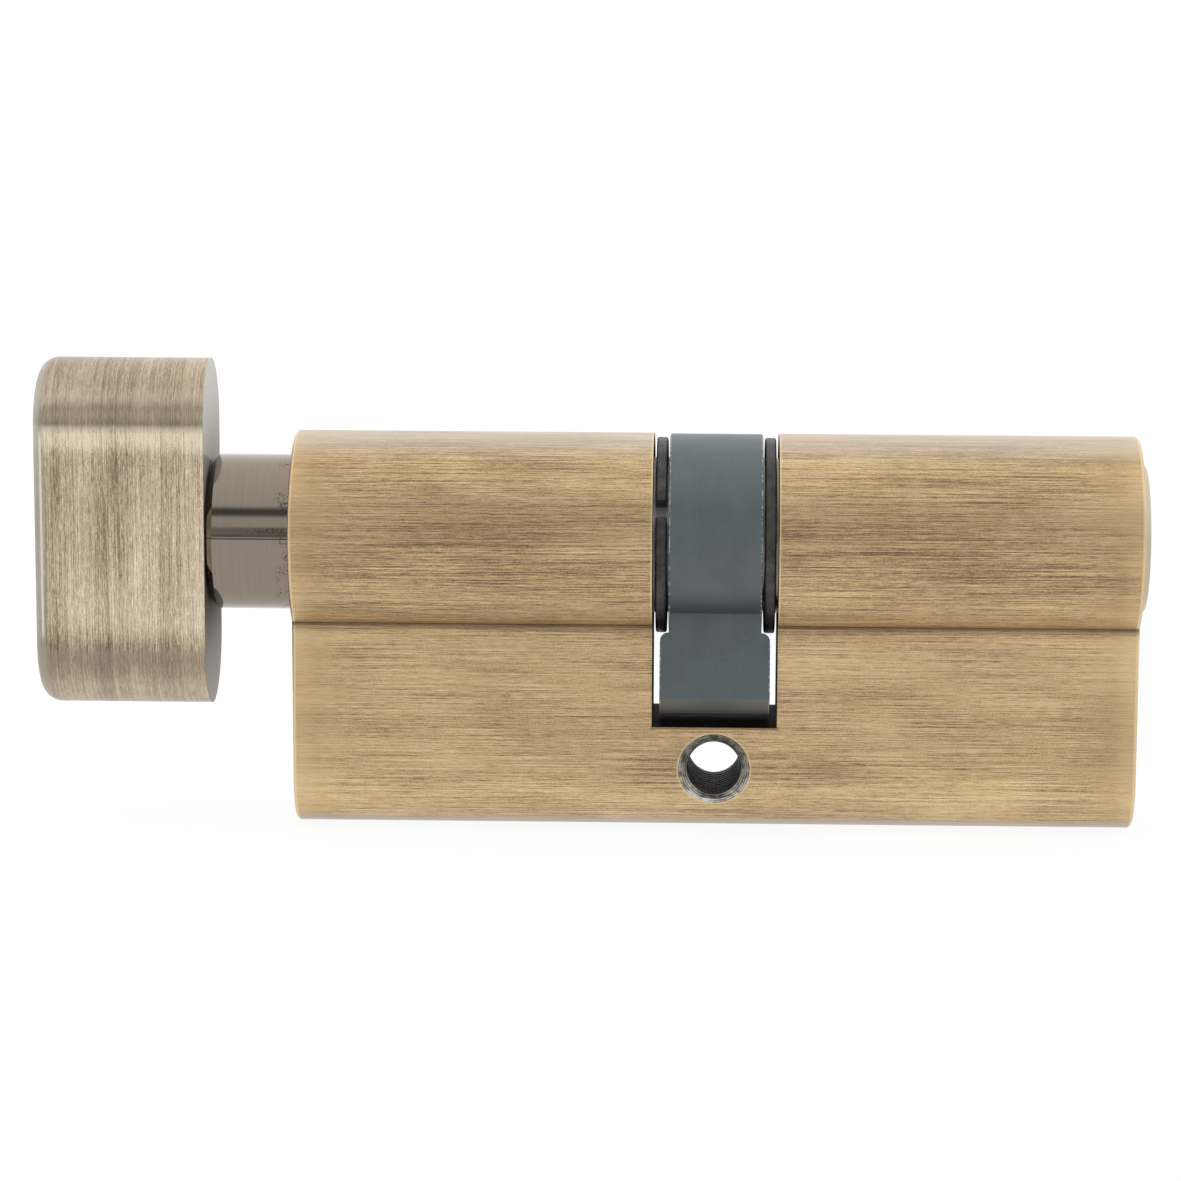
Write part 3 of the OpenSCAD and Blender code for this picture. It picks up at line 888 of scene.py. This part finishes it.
@dataclass(frozen=True)
class BlackenedSteel(Finish):
    """Oil-blackened steel with paler rubbed places."""

    light: Colour = srgb(84, 82, 78)
    dark: Colour = srgb(52, 50, 48)
    layers: tuple[Pattern, ...] = (
        Pattern(9000, weight=0.5, detail=3.0),
        Pattern(900, weight=0.5, shift=7.0),
    )

    def paint(self, board: NodeBoard) -> None:
        """Fills the node board.

        Args:
            board: The material's node board.
        """
        layers = [board.noise(pattern) for pattern in self.layers]
        level = board.layered(NOISE_MIDDLE, self.layers, layers)
        colour = board.ramp(level, ((0.4, self.dark), (0.66, self.light)))
        rough = board.ramp(level, ((0.4, 0.5), (0.7, 0.36)))
        board.set(base_color=colour, metallic=0.6, roughness=rough)
        board.bump(layers[0], depth=0.005 * MM, strength=0.5)


BODY_BRASS = BrushedBodyBrass("brushed_body_brass")
KNOB_BRASS = BrushedKnobBrass("brushed_knob_brass")
CAM_PHOSPHATE = PhosphatedSteel("cam_phosphate")
DARK_NICKEL = PolishedNickel("dark_nickel")
PLUG_BRASS = TurnedMetal("plug_brass", srgb(186, 172, 146), srgb(160, 145, 120), Grain.AROUND_X, 0.28)
PIN_BRASS = TurnedMetal("pin_brass", srgb(214, 184, 118), srgb(182, 150, 88), Grain.AROUND_Z, 0.25)
STOPPER_BRASS = TurnedMetal("stopper_brass", srgb(190, 163, 120), srgb(150, 125, 90), Grain.ALONG_X, 0.38)
PLAIN_STEEL = TurnedMetal("plain_steel", srgb(198, 198, 196), srgb(160, 160, 158), Grain.AROUND_Z, 0.24)
SPRING_STEEL = TurnedMetal("spring_steel", srgb(206, 206, 206), srgb(170, 170, 170), Grain.NONE, 0.22)
RING_BLACK = BlackenedSteel("ring_black")
SCREW_BLACK = BlackenedSteel("screw_black")
THREAD_BLACK = BlackenedSteel("thread_black", srgb(66, 60, 56), srgb(26, 23, 21))


@dataclass
class SubAssembly:
    """Some CAD nodes that are finished together."""

    finishes: dict[str, Finish]

    def dress(self) -> None:
        """Gives each node its finish."""
        for name, finish in self.finishes.items():
            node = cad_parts[name]
            node.data.materials.clear()
            node.data.materials.append(finish.material())
            LOG.info("%s: %s", name, finish.name)

    def build(self) -> None:
        """Adds the pieces that the CAD leaves to the looks."""

    def make(self) -> None:
        """Dresses the nodes and adds the new pieces."""
        self.dress()
        self.build()


@dataclass
class ThreadedBody(SubAssembly):
    """The body with the thread cut in its fixing hole."""

    core_r: float = 2.2 * MM
    crest: float = 0.07 * MM
    sunk: float = 0.01 * MM
    pitch: float = 0.8 * MM
    flank_share: float = 0.36
    length: float = 8.0 * MM
    steps: int = 40

    def build(self) -> None:
        """Winds the thread as a ridge with a triangular section around the hole."""
        turns = int(self.length / self.pitch) - 1
        start = -turns * self.pitch / 2
        flank = self.flank_share * self.pitch
        outline = ((-self.sunk, -flank), (self.crest, 0.0), (-self.sunk, flank))
        shape = bmesh.new()
        corners = [shape.verts.new((self.core_r - depth, start + along, 0.0)) for depth, along in outline]
        section = shape.faces.new(corners)
        bmesh.ops.spin(shape, geom=[section, *section.edges, *corners], cent=(0.0, 0.0, 0.0),
                       axis=(0.0, 1.0, 0.0), dvec=(0.0, self.pitch / self.steps, 0.0),
                       angle=math.tau * turns, steps=self.steps * turns, use_merge=False)
        bmesh.ops.recalc_face_normals(shape, faces=shape.faces)
        mesh = bpy.data.meshes.new("fixing_thread")
        shape.to_mesh(mesh)
        shape.free()
        mesh.materials.append(THREAD_BLACK.material())
        mesh.shade_smooth()
        thread = bpy.data.objects.new("fixing_thread", mesh)
        bpy.context.scene.collection.objects.link(thread)
        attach(thread, "body")
        LOG.info("%s: %s", thread.name, THREAD_BLACK.name)


@dataclass
class Camera:
    """The photo's camera, found by fitting the object's outline.

    The place is in metres, the three turns in radians, and the focal length and the shift of the
    picture's middle in pixels of an image of the given width.
    """

    place: Vector
    yaw: float
    pitch: float
    roll: float
    focal_pixels: float
    principal_shift: float
    image_width: float = 1181.0
    sensor: float = 36.0

    def make(self) -> None:
        """Builds the camera and makes it the scene's own."""
        forward = Vector((-math.sin(self.yaw) * math.cos(self.pitch),
                          math.cos(self.yaw) * math.cos(self.pitch), -math.sin(self.pitch)))
        level_right = Vector((math.cos(self.yaw), math.sin(self.yaw), 0.0))
        level_up = level_right.cross(forward)
        right = math.cos(self.roll) * level_right + math.sin(self.roll) * level_up
        up = -math.sin(self.roll) * level_right + math.cos(self.roll) * level_up
        data = bpy.data.cameras.new("photo_camera")
        data.sensor_width = self.sensor
        data.lens = self.focal_pixels * self.sensor / self.image_width
        data.shift_x = -self.principal_shift / self.image_width
        data.clip_start, data.clip_end = 0.01, 20.0
        camera = bpy.data.objects.new("photo_camera", data)
        turn = Matrix((right, up, -forward)).transposed().to_4x4()
        camera.matrix_world = Matrix.Translation(self.place) @ turn
        bpy.context.scene.collection.objects.link(camera)
        bpy.context.scene.camera = camera


@dataclass
class Studio:
    """White floor, white dome with a few dark strips for the metal to mirror, and a soft lamp.

    The strips are pairs of an angle round the barrel and a level of light: 0 degrees is level towards
    the camera, and 90 degrees is overhead.
    """

    floor_z: float = FOOT_Z - 0.02 * MM
    floor_half: float = 3.0
    floor_grey: float = 0.95
    floor_glow: float = 1.02
    shadow_share: float = 0.1
    dome_strength: float = 0.9
    strips: tuple[tuple[float, float], ...] = (
        (-180, 1.1), (-8, 1.0), (-4, 0.3), (2, 0.3), (4, 0.5), (12, 0.5), (16, 1.0), (28, 1.0), (33, 0.2),
        (40, 0.2), (47, 1.1), (90, 1.3), (150, 1.45), (180, 1.2),
    )
    lamp_place: tuple[float, float, float] = (-0.15, -0.12, 0.75)
    lamp_size: float = 0.5
    lamp_watts: float = 1.6

    def floor_material(self) -> bpy.types.Material:
        """A pale floor that shows white to the camera and in the metal, and keeps a soft shadow.

        Returns:
            The material, clear when seen from below.
        """
        material = bpy.data.materials.new("pale_floor")
        material.use_nodes = True
        board = NodeTree(material.node_tree)
        plain = board.add("BsdfDiffuse", (*[self.floor_grey] * 3, 1.0)).outputs[0]
        glow = board.add("Emission", WHITE, self.floor_glow).outputs[0]
        rays = board.add("LightPath").outputs
        mirrored = board.math("MAXIMUM", rays["Is Glossy Ray"], rays["Is Transmission Ray"])
        shown = board.blend(rays["Is Camera Ray"], plain, board.blend(self.shadow_share, glow, plain))
        shown = board.blend(mirrored, shown, glow)
        clear = board.add("BsdfTransparent").outputs[0]
        below = board.add("NewGeometry").outputs["Backfacing"]
        board.add("OutputMaterial", board.blend(below, shown, clear))
        return material

    def floor(self) -> None:
        """Lays the floor just under the body's foot."""
        shape = bmesh.new()
        bmesh.ops.create_grid(shape, x_segments=1, y_segments=1, size=self.floor_half)
        bmesh.ops.translate(shape, verts=shape.verts, vec=(0.0, 0.0, self.floor_z))
        mesh = bpy.data.meshes.new("floor")
        shape.to_mesh(mesh)
        shape.free()
        mesh.materials.append(self.floor_material())
        floor = bpy.data.objects.new("floor", mesh)
        bpy.context.scene.collection.objects.link(floor)

    def dome(self) -> None:
        """World light: white to the camera, and with dark strips as studios have for what it lights."""
        world = bpy.data.worlds.new("white_studio")
        world.use_nodes = True
        bpy.context.scene.world = world
        board = NodeTree(world.node_tree)
        direction = board.add("SeparateXYZ", board.add("TexCoord").outputs["Generated"]).outputs
        angle = board.math("ARCTAN2", direction["Z"], board.times(direction["Y"], -1.0))
        turn = board.add("MapRange", angle, -math.pi, math.pi).outputs["Result"]
        light = board.ramp(turn, [((degrees + 180) / 360, level) for degrees, level in self.strips])
        room = board.add("Background", light, self.dome_strength).outputs[0]
        white = board.add("Background", WHITE, 1.0).outputs[0]
        seen = board.add("LightPath").outputs["Is Camera Ray"]
        board.add("OutputWorld", board.blend(seen, room, white))

    def lamp(self) -> None:
        """Hangs the square soft lamp, aimed at the cylinder."""
        data = bpy.data.lights.new("overhead_lamp", "AREA")
        data.shape = "SQUARE"
        data.size = self.lamp_size
        data.energy = self.lamp_watts
        place = Vector(self.lamp_place)
        lamp = bpy.data.objects.new("overhead_lamp", data)
        lamp.location = place
        lamp.rotation_mode = "QUATERNION"
        lamp.rotation_quaternion = (Vector((0.0, 0.0, AXIS_Z)) - place).to_track_quat("-Z", "Y")
        lamp.visible_glossy = False
        bpy.context.scene.collection.objects.link(lamp)

    def make(self) -> None:
        """Builds the whole studio."""
        self.floor()
        self.dome()
        self.lamp()
        bpy.context.scene.view_settings.view_transform = "Standard"


def numbered(name: str, finish: Finish) -> dict[str, Finish]:
    """One finish for the six nodes of a name."""
    return {f"{name}_{number}": finish for number in PIN_NUMBERS}


def main() -> None:
    """Builds the sub-assemblies, the studio and the camera."""
    logging.basicConfig(level=logging.INFO, format="%(name)s: %(message)s")
    body = ThreadedBody({
        "housing": BODY_BRASS, **numbered("chamber_plug", STOPPER_BRASS),
        **numbered("pin_spring", SPRING_STEEL),
    })
    turn = SubAssembly({
        "thumb_turn": KNOB_BRASS, "turn_plug": DARK_NICKEL, "turn_screw": SCREW_BLACK, "cam": CAM_PHOSPHATE,
        "drive_bar": PLAIN_STEEL, "retaining_ring_left": RING_BLACK, "clutch_spring": SPRING_STEEL,
    })
    key_side = SubAssembly({
        "key_plug": PLUG_BRASS, "retaining_ring_right": RING_BLACK, "clutch_slider": PIN_BRASS,
        **numbered("key_pin", PIN_BRASS), **numbered("driver_pin", PLAIN_STEEL),
    })
    for assembly in (body, turn, key_side, Studio()):
        assembly.make()
    Camera(place=Vector((0.06, -335.13, 71.06)) * MM, yaw=0.02012, pitch=0.16818, roll=0.00574,
           focal_pixels=4064.65, principal_shift=45.0).make()


if __name__ == "__main__":
    main()
